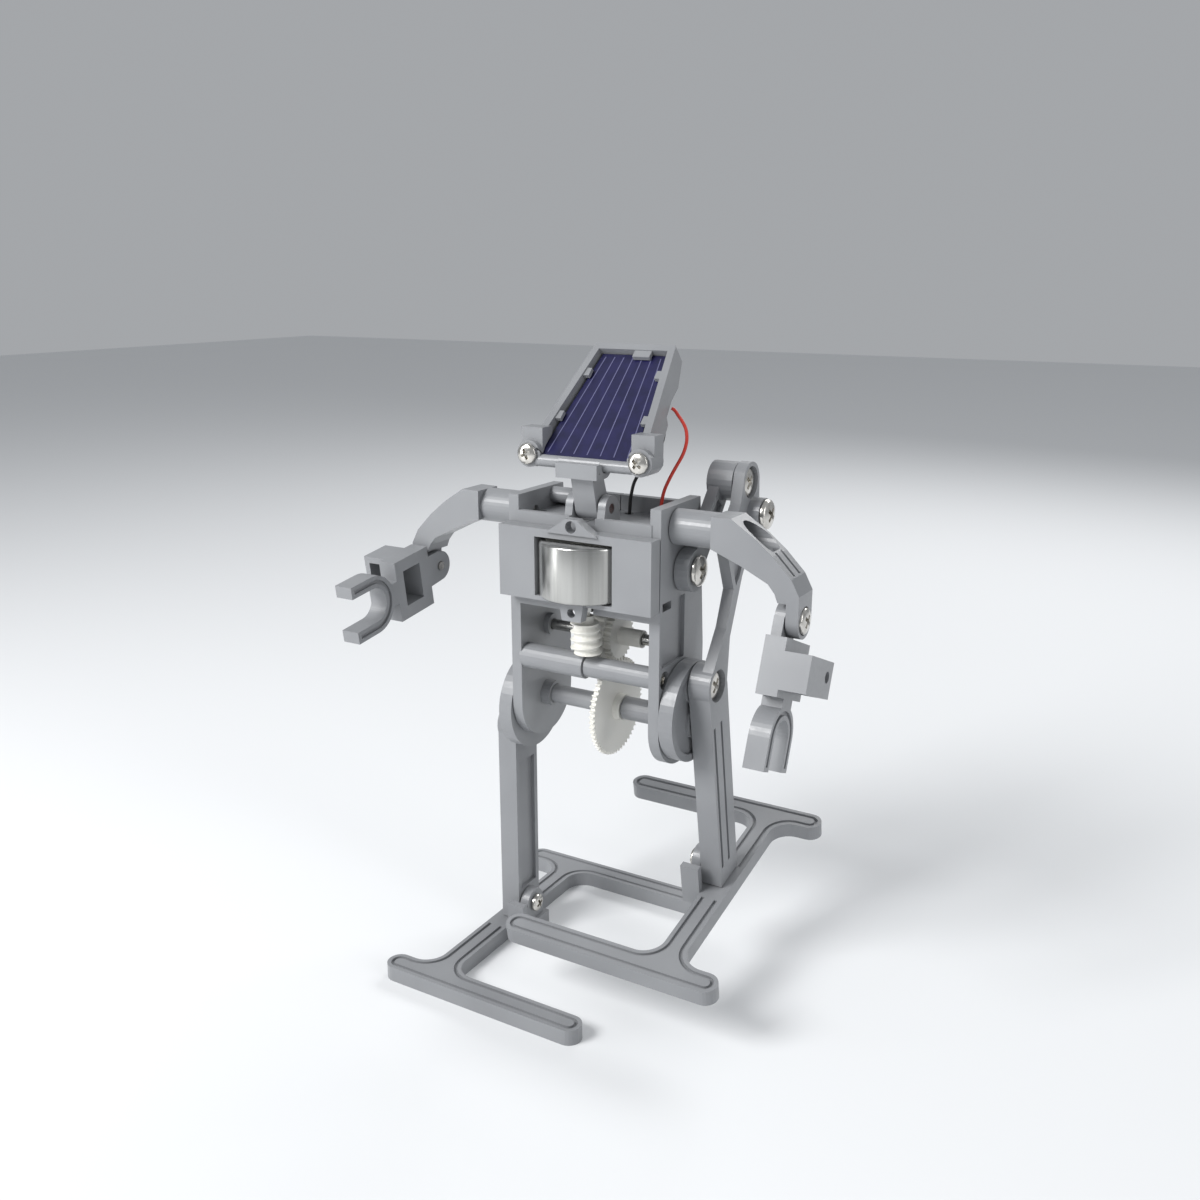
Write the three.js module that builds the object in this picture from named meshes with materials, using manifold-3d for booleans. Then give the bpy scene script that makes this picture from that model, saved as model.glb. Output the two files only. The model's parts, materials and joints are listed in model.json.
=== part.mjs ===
// Solar robot kit: a small walking robot of moulded grey plastic.
// Millimetres, +Z up. The robot faces -Y, and +X is its own left-hand side seen from behind the face,
// which is the right-hand side for someone who looks at it.
import * as THREE from "three";
import { mergeVertices } from "three/addons/utils/BufferGeometryUtils.js";
import Module from "manifold-3d";

const wasm = await Module();
wasm.setup();

// ---------------------------------------------------------------- driving dimensions
const gap = 0.3;                    // clearance between touching pieces

// torso
const wallInner = 19.5;             // inner face of a side plate
const wallOuter = 22.5;             // outer face of a side plate
const torsoFront = -12.8;           // front edge of the side plates
const lobeDrop = 12;              // how far their rounded foot reaches below the crank axle
const torsoTop = 135.8;
const coverFront = -17.8;           // front face of the motor cover
const coverBottom = 109.7;
const coverTop = 128.7;
const deckBottom = 128.2;
const deckTop = 130.2;
const shelfBottom = 106.4;
const shelfTop = 108.6;
const rearWallFront = 7;
const rearWallBack = 9.3;
const spacer = { y: -9.8, z: 91, leftRadius: 3.5, rightRadius: 2.9, step: 0.5 };

// motor and drive
const motor = { y: -11, radius: 12.2, bottom: 111.2, top: 125.9 };
const gearModule = 0.475;           // tooth size of the crank gear and its pinion
const crankAxle = { y: 0, z: 77.2, radius: 2.6 };
const crankGear = { teeth: 56, from: 2.1, to: 3.5 };
const pinion = { teeth: 28, from: 1.6, to: 3.7 };
const wormWheel = { teeth: 24, radius: 8.3, from: -2.1, to: 1.7 };
const wormPitch = (2 * Math.PI * wormWheel.radius) / wormWheel.teeth;
const worm = { radius: 4.3, depth: 1.1, bottom: 95.3, top: 103.6 };
const idlerY = motor.y + worm.radius - worm.depth / 2 + wormWheel.radius + 0.15;
const gearSpan = (gearModule * (crankGear.teeth + pinion.teeth)) / 2;
const idler = { y: idlerY, z: crankAxle.z + Math.sqrt(gearSpan ** 2 - (idlerY - crankAxle.y) ** 2) };
const crankDisc = { radius: 13.6, offset: 3, inner: 22.8, outer: 26.8 };    // set off towards its pin
const crankRadius = 11.2;           // crank pin to crank axle
const pinEnd = 31;                  // outer end of a crank pin, inside the leg

// legs, measured from the crank pin with the leg upright
const legInner = 27.2;
const legOuter = 33.2;
const legPlateInner = 30.2;         // the upper part of a leg is a thinner plate
const legFront = -5.2;
const legBack = 5.6;
const legHub = 5.6;                 // radius round the crank pin
const rightLegLean = THREE.MathUtils.degToRad(10.5);
const footTop = -61.6;
const footThickness = 4.4;
const legTie = { y: 26.2, z: 46.7 };      // where the rocker meets the leg
const legStud = { y: 26.5, z: 38.1 };     // threaded boss for accessories
const ankle = { y: -1, z: -56.5 };

// foot, in plan: a long bar under the leg and two cross bars
const foot = { x: 32, front: -40, rear: 33.5, halfBar: 3.5, inward: 43.7, outward: 12.4, fillet: 6 };

// rocker
const rockerPivot = { y: -0.5, z: 118.5 };
const rockerLength = 27.1;
const rockerInner = 22.8;
const rockerOuter = 26.6;

// arms
const shoulder = { x: 22.8, y: -4.5, z: 130.4, radius: 4.6 };
const armFront = -5.6;              // an arm's beam, measured from the shoulder axis
const armBack = 3.4;
const elbow = { y: (armFront + armBack) / 2, z: -19.3, radius: 4.5 };
const lugInner = 54.6;              // the outer half of the elbow's lap joint
const lugOuter = 57.8;
const rightElbowBend = THREE.MathUtils.degToRad(-22);
const leftElbowBend = THREE.MathUtils.degToRad(-82);

// forearm and hand, measured from the elbow axis with the forearm hanging down
const forearm = { inner: 51.6, mid: 57, outer: 63.8, front: -7.6, back: 9.6, top: -5, bottom: -19.2 };
const hand = { y: 0.8, z: -28.9, outerRadius: 8, innerRadius: 4.7, tip: -36.9 };

// head
const neckPivot = { y: -8, z: 133.8 };
const rod = { y: -11.5, z: 145.2, radius: 1.6, halfLength: 14 };
const panelTilt = THREE.MathUtils.degToRad(43.4);
const panel = { length: 38.4, bottomHalf: 17.2, topHalf: 12, rail: 2, low: -2.6, high: 2.6 };
const cell = { start: 1.2, end: 36.1, bottomHalf: 13.6, topHalf: 9.6, low: -0.4, high: 0.8 };

const wireRadius = 0.45;

// the robot's own outline is centred over the origin
const centreShift = { x: 0, y: -2.454 };

// ---------------------------------------------------------------- finishes
const grey = { color: 0x9a9ca0, roughness: 0.42, metalness: 0 };
const nickel = { color: 0xc9c6bd, roughness: 0.24, metalness: 1 };
const brushedSteel = { color: 0xb9b9b6, roughness: 0.33, metalness: 1 };
const white = { color: 0xe9e7e0, roughness: 0.45, metalness: 0 };
const navy = { color: 0x1b1c4c, roughness: 0.2, metalness: 0 };
const redWire = { color: 0xc4392f, roughness: 0.45, metalness: 0 };
const blackWire = { color: 0x141414, roughness: 0.45, metalness: 0 };

// ---------------------------------------------------------------- solids
function toSolid(geometry) {
  const bare = geometry.clone();
  bare.deleteAttribute("normal");
  bare.deleteAttribute("uv");
  const merged = mergeVertices(bare, 1e-4);
  return new wasm.Manifold(new wasm.Mesh({
    numProp: 3,
    vertProperties: new Float32Array(merged.attributes.position.array),
    triVerts: new Uint32Array(merged.index.array),
  }));
}

function toGeometry(solid) {
  const mesh = solid.getMesh();
  const geometry = new THREE.BufferGeometry();
  geometry.setAttribute("position", new THREE.BufferAttribute(new Float32Array(mesh.vertProperties), 3));
  geometry.setIndex(new THREE.BufferAttribute(new Uint32Array(mesh.triVerts), 1));
  geometry.computeVertexNormals();
  return geometry;
}

function join(...solids) {
  return solids.reduce((whole, next) => whole.add(next));
}

function cut(solid, ...tools) {
  return tools.reduce((rest, tool) => rest.subtract(tool), solid);
}

// turns (u, v, w) of an extrusion into the axes given as unit vectors
function extrudeAlong(shape, length, axes, origin, curveSegments = 12) {
  const geometry = new THREE.ExtrudeGeometry(shape, { depth: length, bevelEnabled: false, curveSegments });
  const turn = new THREE.Matrix4().makeBasis(axes[0], axes[1], axes[2]);
  turn.setPosition(origin);
  geometry.applyMatrix4(turn);
  return toSolid(geometry);
}

const axisX = new THREE.Vector3(1, 0, 0);
const axisY = new THREE.Vector3(0, 1, 0);
const axisZ = new THREE.Vector3(0, 0, 1);

// a side view (y, z) carried from x0 to x1
function sideProfile(shape, x0, x1, curveSegments) {
  return extrudeAlong(shape, x1 - x0, [axisY, axisZ, axisX], new THREE.Vector3(x0, 0, 0), curveSegments);
}

// a front view (x, z) carried from y1 forward to y0
function frontProfile(shape, y0, y1, curveSegments) {
  const forward = axisY.clone().negate();
  return extrudeAlong(shape, y1 - y0, [axisX, axisZ, forward], new THREE.Vector3(0, y1, 0), curveSegments);
}

// a plan view (x, y) carried from z0 to z1
function planProfile(shape, z0, z1, curveSegments) {
  return extrudeAlong(shape, z1 - z0, [axisX, axisY, axisZ], new THREE.Vector3(0, 0, z0), curveSegments);
}

function block(x0, x1, y0, y1, z0, z1) {
  const geometry = new THREE.BoxGeometry(x1 - x0, y1 - y0, z1 - z0);
  geometry.translate((x0 + x1) / 2, (y0 + y1) / 2, (z0 + z1) / 2);
  return toSolid(geometry);
}

function rodX(radius, x0, x1, y, z, segments = 24) {
  const geometry = new THREE.CylinderGeometry(radius, radius, x1 - x0, segments);
  geometry.rotateZ(-Math.PI / 2);
  geometry.translate((x0 + x1) / 2, y, z);
  return toSolid(geometry);
}

function rodY(radius, y0, y1, x, z, segments = 28) {
  const geometry = new THREE.CylinderGeometry(radius, radius, y1 - y0, segments);
  geometry.translate(x, (y0 + y1) / 2, z);
  return toSolid(geometry);
}

function rodZ(radius, z0, z1, x, y, segments = 24) {
  const geometry = new THREE.CylinderGeometry(radius, radius, z1 - z0, segments);
  geometry.rotateX(Math.PI / 2);
  geometry.translate(x, y, (z0 + z1) / 2);
  return toSolid(geometry);
}

function polygon(points) {
  return new THREE.Shape(points.map(([u, v]) => new THREE.Vector2(u, v)));
}

function mirrored(geometry) {
  const copy = geometry.clone();
  copy.scale(-1, 1, 1);
  const index = copy.index.array;
  for (let i = 0; i < index.length; i += 3) {
    [index[i], index[i + 1]] = [index[i + 1], index[i]];
  }
  copy.computeVertexNormals();
  return copy;
}

function piece(name, shape, finish) {
  const geometry = shape.isBufferGeometry ? shape : toGeometry(shape);
  const mesh = new THREE.Mesh(geometry, new THREE.MeshStandardMaterial(finish));
  mesh.name = name;
  return mesh;
}

// a right-hand piece, or the same piece mirrored for the left-hand side
function sidePiece(name, shape, finish, side) {
  const geometry = shape.isBufferGeometry ? shape : toGeometry(shape);
  return piece(name, side > 0 ? geometry : mirrored(geometry), finish);
}

// ---------------------------------------------------------------- screws
// cross-head screw along +Y, with the underside of its domed head at 0 and the shank below it
function screwSolid(head) {
  const profile = [
    new THREE.Vector2(0, -head.length),
    new THREE.Vector2(head.shank, -head.length),
    new THREE.Vector2(head.shank, 0),
    new THREE.Vector2(head.radius, 0),
  ];
  const rim = head.height * 0.3;
  const domeSteps = 2;
  for (let i = 0; i < domeSteps; i += 1) {
    const angle = (i / domeSteps) * (Math.PI / 2);
    const rise = (head.height - rim) * Math.sin(angle);
    profile.push(new THREE.Vector2(head.radius * Math.cos(angle), rim + rise));
  }
  profile.push(new THREE.Vector2(0, head.height));
  const arm = head.radius * 0.52;
  const slot = head.radius * 0.13;
  const recess = head.height * 0.45;
  return cut(
    toSolid(new THREE.LatheGeometry(profile, 16)),
    block(-arm, arm, head.height - recess, head.height + 1, -slot, slot),
    block(-slot, slot, head.height - recess, head.height + 1, -arm, arm),
  );
}

function screwAlongX(name, head, x, y, z, side) {
  const geometry = toGeometry(screwSolid(head));
  geometry.rotateZ((-Math.PI / 2) * head.facing);
  geometry.translate(x, y, z);
  return sidePiece(name, geometry, nickel, side);
}

const jointScrew = { radius: 4, height: 1.6, shank: 1.3, length: 4.4, facing: 1 };
const pinScrew = { radius: 3.9, height: 1.4, shank: 1.3, length: 3.6, facing: 1 };
const tieScrew = { radius: 3.9, height: 1.2, shank: 1.1, length: 1, facing: 1 };
const studScrew = { radius: 4, height: 1.9, shank: 1.3, length: 4.2, facing: 1 };
const ankleScrew = { radius: 2.6, height: 1.5, shank: 1.1, length: 5.6, facing: -1 };
const elbowScrew = { radius: 3.3, height: 1.4, shank: 1.2, length: 6.2, facing: 1 };
const spacerScrew = { radius: 2, height: 0.9, shank: 1, length: 12, facing: 1 };
const shoulderScrew = { radius: 3, height: 1.2, shank: 1.2, length: 11, facing: 1 };
const panelScrew = { radius: 2.7, height: 1.4, shank: 1.1, length: 4 };

// ---------------------------------------------------------------- torso
function sidePlateOutline() {
  const shape = new THREE.Shape();
  const lobe = -torsoFront;
  shape.moveTo(torsoFront, torsoTop);
  shape.lineTo(torsoFront, crankAxle.z);
  shape.absellipse(crankAxle.y, crankAxle.z, lobe, lobeDrop, Math.PI, 2 * Math.PI, false, 0);
  shape.lineTo(lobe, 95);
  shape.lineTo(rearWallBack, torsoTop);
  shape.closePath();
  return shape;
}

function earOutline() {
  const radius = 3.4;
  const shape = new THREE.Shape();
  shape.moveTo(neckPivot.y + 4.4, deckTop - 0.5);
  shape.lineTo(neckPivot.y + radius, neckPivot.z);
  shape.absarc(neckPivot.y, neckPivot.z, radius, 0, Math.PI, false);
  shape.lineTo(neckPivot.y - 4.4, deckTop - 0.5);
  shape.closePath();
  return shape;
}

// one half of the torso, as it is on the +X side; the halves meet at x = 0
function torsoHalf(isLeft) {
  const seam = gap / 2;
  const holeX = 2.3;
  let half = join(
    sideProfile(sidePlateOutline(), wallInner, wallOuter, 20),
    block(seam, wallInner + 0.5, rearWallFront, rearWallBack, 103.5, 134.4),
    block(seam, wallInner + 0.5, torsoFront - 0.2, rearWallFront + 0.5, deckBottom, deckTop),
    block(holeX + 1.5, wallInner + 0.5, torsoFront - 0.2, torsoFront + 1.4, deckBottom, deckTop + 1.6),
    block(seam, wallInner + 0.5, torsoFront, rearWallFront + 0.5, shelfBottom, shelfTop),
    sideProfile(earOutline(), 3.7, 5.9, 16),
    rodX(isLeft ? 3.6 : 3.2, isLeft ? wallInner - 2.8 : 6, wallInner + 0.5, crankAxle.y, crankAxle.z),
    rodX(3, wallInner - 1.6, wallInner + 0.5, idler.y, idler.z, 24),
  );
  if (isLeft) {
    half = join(
      half,
      rodX(spacer.leftRadius, spacer.step, wallInner + 0.5, spacer.y, spacer.z),
      rodX(2.2, 9, wallInner + 0.5, 4.4, 133.2),
    );
    half = cut(half, rodX(1.05, -2, 16, spacer.y, spacer.z, 16));
  } else {
    half = join(half, rodX(spacer.rightRadius, gap - spacer.step, wallInner + 0.5, spacer.y, spacer.z));
    half = cut(
      half,
      rodX(1.15, -1, wallOuter + 1, spacer.y, spacer.z, 16),
      rodX(2.4, wallOuter - 1.3, wallOuter + 1, spacer.y, spacer.z, 24),
    );
  }
  return cut(
    half,
    rodX(crankAxle.radius + 0.15, 4, wallOuter + 1, crankAxle.y, crankAxle.z),
    rodX(1.5 + gap / 2, wallInner - 3, wallInner + 1.6, idler.y, idler.z, 24),
    rodX(1.4, wallInner - 3, wallOuter + 1, rockerPivot.y, rockerPivot.z, 16),
    rodX(1.3, wallInner - 3, wallOuter + 1, shoulder.y, shoulder.z, 16),
    rodX(1.35, 3, 7, neckPivot.y, neckPivot.z, 20),
    rodZ(3.6, shelfBottom - 1, shelfTop + 1, 0, motor.y),
    block(wallOuter - 0.9, wallOuter + 1, torsoFront + 1.4, 1.2, 94.5, 111.6),
    block(wallInner - 1, wallOuter + 1, torsoFront + 2, torsoFront + 8, 108.9, 111.2),
    rodZ(1.3, deckBottom - 1, deckTop + 1, 13.6, 4.2, 16),
    rodZ(1.3, deckBottom - 1, deckTop + 1, 4.2, 4.2, 16),
  );
}

function motorCover() {
  const half = wallOuter;
  const back = torsoFront - gap - 0.2;
  const face = coverFront + 2;
  const upperLug = (wing, tip) => polygon([
    [-wing, coverTop - 0.5], [-2.6, tip - 0.8], [-1.8, tip], [1.8, tip], [2.6, tip - 0.8], [wing, coverTop - 0.5],
  ]);
  const lowerLug = polygon([[-3.6, coverBottom + 0.5], [3.6, coverBottom + 0.5], [2.8, 105.6], [-2.8, 105.6]]);
  const cover = join(
    block(-half, half, coverFront, face, coverBottom, coverTop),
    block(-half, -half + 2, coverFront, back, coverBottom, coverTop),
    block(half - 2, half, coverFront, back, coverBottom, coverTop),
    block(-half, half, coverFront, back, coverTop - 1.2, coverTop),
    frontProfile(upperLug(7.5, 132.2), coverFront - 0.8, face),
    frontProfile(lowerLug, coverFront - 0.8, face),
  );
  return cut(
    cover,
    block(-11.5, 11.5, coverFront - 1, face + 1, motor.bottom - gap, coverTop - 2.2),
    rodY(1.6, coverFront - 2, face + 1, 0, 130.2, 20),
    rodY(1.2, coverFront - 2, face + 1, 0, 107.8, 20),
  );
}

function motorCan() {
  const can = rodZ(motor.radius, motor.bottom, motor.top, 0, motor.y, 64);
  const boss = rodZ(3, shelfTop - 1.6, motor.bottom + 0.5, 0, motor.y);
  const bore = rodZ(1.3, shelfTop - 3, motor.bottom + 4, 0, motor.y, 20);
  return cut(join(can, boss), bore);
}

function motorEndCap() {
  const capBottom = motor.top + gap;
  const capTop = coverTop - 1.2 - gap;
  const cap = rodZ(10.6, capBottom, capTop, 0, motor.y, 48);
  return cut(cap, block(-20, 20, motor.y - 20, coverFront + 2 + gap, capBottom - 1, capTop + 1));
}

// the thread is a round rod whose edge swells and turns as it climbs
function wormThread() {
  const around = 18;
  const layersPerTurn = 8;
  const height = worm.top - worm.bottom;
  const layers = Math.round((height / wormPitch) * layersPerTurn);
  const positions = [];
  const index = [];
  for (let k = 0; k <= layers; k += 1) {
    const climb = k / layers;
    const z = worm.bottom + height * climb;
    // a trough faces the wheel at the height of the wheel's axle
    const phase = (2 * Math.PI * (z - idler.z)) / wormPitch + 1.5 * Math.PI;
    for (let i = 0; i < around; i += 1) {
      const angle = (2 * Math.PI * i) / around;
      const swell = ((1 + Math.cos(angle - phase)) / 2) ** 1.6;
      const radius = worm.radius - worm.depth * (1 - swell);
      positions.push(radius * Math.cos(angle), motor.y + radius * Math.sin(angle), z);
    }
  }
  for (let k = 0; k < layers; k += 1) {
    for (let i = 0; i < around; i += 1) {
      const a = k * around + i;
      const b = k * around + ((i + 1) % around);
      index.push(a, b, b + around, a, b + around, a + around);
    }
  }
  const bottom = positions.length / 3;
  positions.push(0, motor.y, worm.bottom, 0, motor.y, worm.top);
  const topRow = layers * around;
  for (let i = 0; i < around; i += 1) {
    const next = (i + 1) % around;
    index.push(bottom, next, i, bottom + 1, topRow + i, topRow + next);
  }
  const geometry = new THREE.BufferGeometry();
  geometry.setAttribute("position", new THREE.Float32BufferAttribute(positions, 3));
  geometry.setIndex(index);
  return toSolid(geometry);
}

function wormWithShaft() {
  return join(
    wormThread(),
    rodZ(2, worm.top - 0.5, 105.4, 0, motor.y, 24),
    rodZ(1, 104, motor.bottom + 3, 0, motor.y, 16),
  );
}

// ---------------------------------------------------------------- gears
// teeth whose tips reach `reach` outside the rolling circle; the first tooth points along `start`
function gearOutline(rollingRadius, teeth, reach, depth, start = 0) {
  const points = [];
  const tip = rollingRadius + reach;
  const root = tip - depth;
  for (let i = 0; i < teeth; i += 1) {
    for (const [share, radius] of [[-0.27, root], [-0.09, tip], [0.09, tip], [0.27, root]]) {
      const angle = start + (2 * Math.PI * (i + share)) / teeth;
      points.push([radius * Math.cos(angle), radius * Math.sin(angle)]);
    }
  }
  return polygon(points);
}

// direction, seen from the side, from the crank axle to the idler axle
const meshDirection = Math.atan2(idler.z - crankAxle.z, idler.y - crankAxle.y);

function idlerWheel() {
  const pinionRadius = (gearModule * pinion.teeth) / 2;
  const gapFacesGear = meshDirection + Math.PI + Math.PI / pinion.teeth;
  const wheel = join(
    sideProfile(gearOutline(wormWheel.radius, wormWheel.teeth, 0.4, 1), wormWheel.from, wormWheel.to),
    sideProfile(gearOutline(pinionRadius, pinion.teeth, 0.25, 0.8, gapFacesGear), pinion.from, pinion.to),
    rodX(2.4, pinion.to - 0.5, 10.5, 0, 0, 20),
    rodX(2.4, -5.5, wormWheel.from + 0.5, 0, 0, 20),
  );
  const facePocket = cut(
    rodX(6.6, wormWheel.from - 1, wormWheel.from + 0.7, 0, 0, 36),
    rodX(3.4, wormWheel.from - 2, wormWheel.from + 1, 0, 0, 24),
  );
  return cut(wheel, rodX(1.5 + 0.15, -8, 12, 0, 0, 24), facePocket);
}

function crankGearWheel() {
  const gearRadius = (gearModule * crankGear.teeth) / 2;
  const wheel = join(
    sideProfile(gearOutline(gearRadius, crankGear.teeth, 0.25, 0.8, meshDirection), crankGear.from, crankGear.to),
    rodX(3.6, crankGear.to - 0.5, 5.6, 0, 0, 28),
  );
  return cut(
    wheel,
    rodX(crankAxle.radius + 0.15, 0, 15, 0, 0),
    block(crankGear.from - 1, crankGear.to + 1, 5.2, 7, -2.6, 0.4),
  );
}

// ---------------------------------------------------------------- crank discs
function crankDiscSolid() {
  const disc = join(
    rodX(crankDisc.radius, crankDisc.inner, crankDisc.outer, 0, crankDisc.offset, 48),
    rodX(4.2, crankDisc.outer - 0.5, legInner - gap, 0, crankRadius),
    rodX(2.9, legInner - 1, pinEnd, 0, crankRadius, 28),
  );
  const ringPocket = cut(
    rodX(crankDisc.radius - 2, crankDisc.outer - 0.7, crankDisc.outer + 1, 0, crankDisc.offset, 48),
    rodX(4.2, crankDisc.outer - 2, crankDisc.outer + 2, 0, 0, 32),
    rodX(5.8, crankDisc.outer - 2, crankDisc.outer + 2, 0, crankRadius, 32),
  );
  return cut(
    disc,
    ringPocket,
    rodX(crankAxle.radius + 0.15, crankDisc.inner - 1, crankDisc.outer - 1, 0, 0),
    rodX(1.45, crankDisc.outer, pinEnd + 1, 0, crankRadius, 16),
  );
}

// ---------------------------------------------------------------- rocker
function rockerSolid() {
  const hub = 5.6;
  const link = polygon([[-3.6, 0], [3.6, 0], [3.2, rockerLength], [-3.2, rockerLength]]);
  const rocker = join(
    rodX(hub, rockerInner, rockerOuter, 0, 0),
    sideProfile(link, rockerInner + 0.6, rockerOuter - 0.2),
    rodX(5.2, rockerInner, legPlateInner - gap, 0, rockerLength),
  );
  return cut(
    rocker,
    rodX(1.3 + gap, rockerInner - 1, rockerOuter + 1, 0, 0, 24),
    rodX(1.4, rockerInner + 3, legPlateInner + 1, 0, rockerLength, 16),
    block(rockerOuter - 0.9, rockerOuter + 1, -1.6, 1.6, 7.4, rockerLength - 6.6),
  );
}

// ---------------------------------------------------------------- leg
function legPlateOutline() {
  const shape = new THREE.Shape();
  shape.moveTo(-3.2, 4.4);
  shape.lineTo(6.6, 13.6);
  shape.lineTo(12.2, 22.2);
  shape.lineTo(9.6, 33.5);
  shape.lineTo(10.2, 36.6);
  shape.lineTo(19, 43.1);
  shape.absarc(legTie.y, legTie.z, 5.4, 2.35, -0.15, true);
  shape.absarc(legStud.y, legStud.z, 4.6, 0.4, -0.7, true);
  shape.lineTo(17.9, 23.6);
  shape.lineTo(8.6, 10.2);
  shape.lineTo(5.2, -1.9);
  shape.closePath();
  return shape;
}

function legSolid() {
  const shankBottom = footTop + gap;
  const shank = polygon([[legFront, shankBottom], [legBack, shankBottom], [legBack, -1.5], [legFront, -1.5]]);
  const platePocket = polygon([[13.8, 22.6], [11.4, 34], [19.4, 41], [23.4, 33.4], [16.4, 24.4]]);
  const leg = join(
    sideProfile(shank, legInner, legOuter),
    sideProfile(legPlateOutline(), legPlateInner, legOuter, 16),
    rodX(legHub, legInner, legOuter, 0, 0, 40),
    rodX(4.3, legOuter - 0.5, legOuter + 3.2, legStud.y, legStud.z),
  );
  const outerGrooves = [legFront + 1.1, legFront + 5.3].map(
    (y) => block(legOuter - 0.8, legOuter + 1, y, y + 1.1, footTop + 6, -11),
  );
  return cut(
    leg,
    ...outerGrooves,
    block(legInner - 1, legInner + 1.1, legFront + 1.6, legBack - 1.6, footTop + 10, -11),
    sideProfile(platePocket, legOuter - 0.9, legOuter + 1),
    rodX(2.9 + gap, legInner - 1, legOuter + 1, 0, 0),
    rodX(4.4, pinEnd + 0.2, legOuter + 1, 0, 0),
    rodX(1.4, legPlateInner - 1, legOuter + 1, legTie.y, legTie.z, 16),
    rodX(4.3, legOuter - 1.6, legOuter + 1, legTie.y, legTie.z),
    rodX(1.4, legOuter - 1.8, legOuter + 5, legStud.y, legStud.z, 16),
    rodX(1.2, legInner - 1, legInner + 3.6, ankle.y, ankle.z, 16),
  );
}

// ---------------------------------------------------------------- foot
// outline in plan of the right foot, pulled in by `inset` all round; x grows outward
function footOutline(inset) {
  const w = foot.halfBar - inset;
  const r = foot.fillet + inset;
  const inner = foot.x - foot.inward;
  const outer = foot.x + foot.outward;
  const corner = foot.halfBar + foot.fillet;
  const half = Math.PI / 2;
  const shape = new THREE.Shape();
  shape.moveTo(outer, foot.front - w);
  shape.absarc(outer, foot.front, w, -half, half, false);
  shape.absarc(foot.x + corner, foot.front + corner, r, -half, -2 * half, true);
  shape.absarc(foot.x + corner, foot.rear - corner, r, 2 * half, half, true);
  shape.absarc(outer, foot.rear, w, -half, half, false);
  shape.absarc(inner, foot.rear, w, half, 3 * half, false);
  shape.absarc(foot.x - corner, foot.rear - corner, r, half, 0, true);
  shape.absarc(foot.x - corner, foot.front + corner, r, 0, -half, true);
  shape.absarc(inner, foot.front, w, half, 3 * half, false);
  shape.closePath();
  return shape;
}

function footSolid() {
  const bottom = footTop - footThickness;
  const grooveDepth = 0.7;
  const groove = cut(
    planProfile(footOutline(1.1), footTop - grooveDepth, footTop + 1, 5),
    planProfile(footOutline(2.1), footTop - grooveDepth - 1, footTop + 2, 5),
    block(legInner - 6.5, foot.x + foot.halfBar, -10.5, 5.2, footTop - 2, footTop + 3),
  );
  const lugTop = ankle.z + 0.2;
  const lug = new THREE.Shape();
  lug.moveTo(-7.6, footTop - 1);
  lug.lineTo(-7.6, ankle.z);
  lug.lineTo(ankle.y - 4, lugTop);
  lug.absarc(ankle.y, lugTop, 4, Math.PI, 0, true);
  lug.lineTo(ankle.y + 4, footTop - 1);
  lug.closePath();
  const solid = join(
    cut(planProfile(footOutline(0), bottom, footTop, 6), groove),
    block(legInner - 4.2, foot.x - foot.halfBar + 0.5, -9.4, 4.6, bottom, footTop),
    block(legInner - 4.2, legInner + 1.2, -9.4, -7.4, footTop - 1, ankle.z + 2.6),
    sideProfile(lug, legInner - gap - 2.7, legInner - gap, 12),
    block(legInner - 3, legInner - gap, -7.6, 3, footTop - 1, footTop + 1.2),
  );
  return cut(solid, rodX(1.4, 20, legInner, ankle.y, ankle.z, 16));
}

// ---------------------------------------------------------------- arms
// right arm, measured from the shoulder axis: a tube, a sloping beam and half of the elbow's lap joint
function upperArmSolid() {
  const tubeEnd = 36;
  const beamStart = 34.5;
  const beam = polygon([
    [beamStart, 4.5], [39.7, 4.6], [46, 0.5], [50.8, -3.4], [55.7, -8.4], [lugOuter, -12.4], [lugOuter, -26],
    [lugInner, -26], [lugInner, elbow.z + elbow.radius + gap], [52.4, elbow.z + elbow.radius + gap],
    [51.6, -12.4], [49.8, -10.2], [42.5, -6.6], [beamStart, -3.4],
  ]);
  const side = new THREE.Shape();
  side.moveTo(armFront, 12);
  side.lineTo(armFront, elbow.z);
  side.absarc(elbow.y, elbow.z, (armBack - armFront) / 2, Math.PI, 2 * Math.PI, false);
  side.lineTo(armBack, 12);
  side.closePath();
  const slopeAngle = Math.atan2(9.2, 12.2);
  const groove = (y) => {
    const geometry = new THREE.BoxGeometry(9.5, 1, 1.4);
    geometry.rotateY(slopeAngle);
    geometry.translate(51.8, y, -5);
    return toSolid(geometry);
  };
  return cut(
    join(
      rodX(shoulder.radius, shoulder.x, tubeEnd + 3, 0, 0, 36),
      frontProfile(beam, armFront, armBack).intersect(sideProfile(side, 28, 62, 14)),
    ),
    rodX(3.3, shoulder.x + 8, tubeEnd, 0, 0, 24),
    rodX(3.6, beamStart + 0.5, 50, elbow.y, 0, 24),
    rodX(1.35, shoulder.x - 1, 40, 0, 0, 16),
    rodX(1.35, lugInner - 1, lugOuter + 1, elbow.y, elbow.z, 20),
    rodX(3.6, lugOuter - 0.7, lugOuter + 1, elbow.y, elbow.z, 24),
    groove(elbow.y - 1.7),
    groove(elbow.y + 1.7),
  );
}

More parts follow.
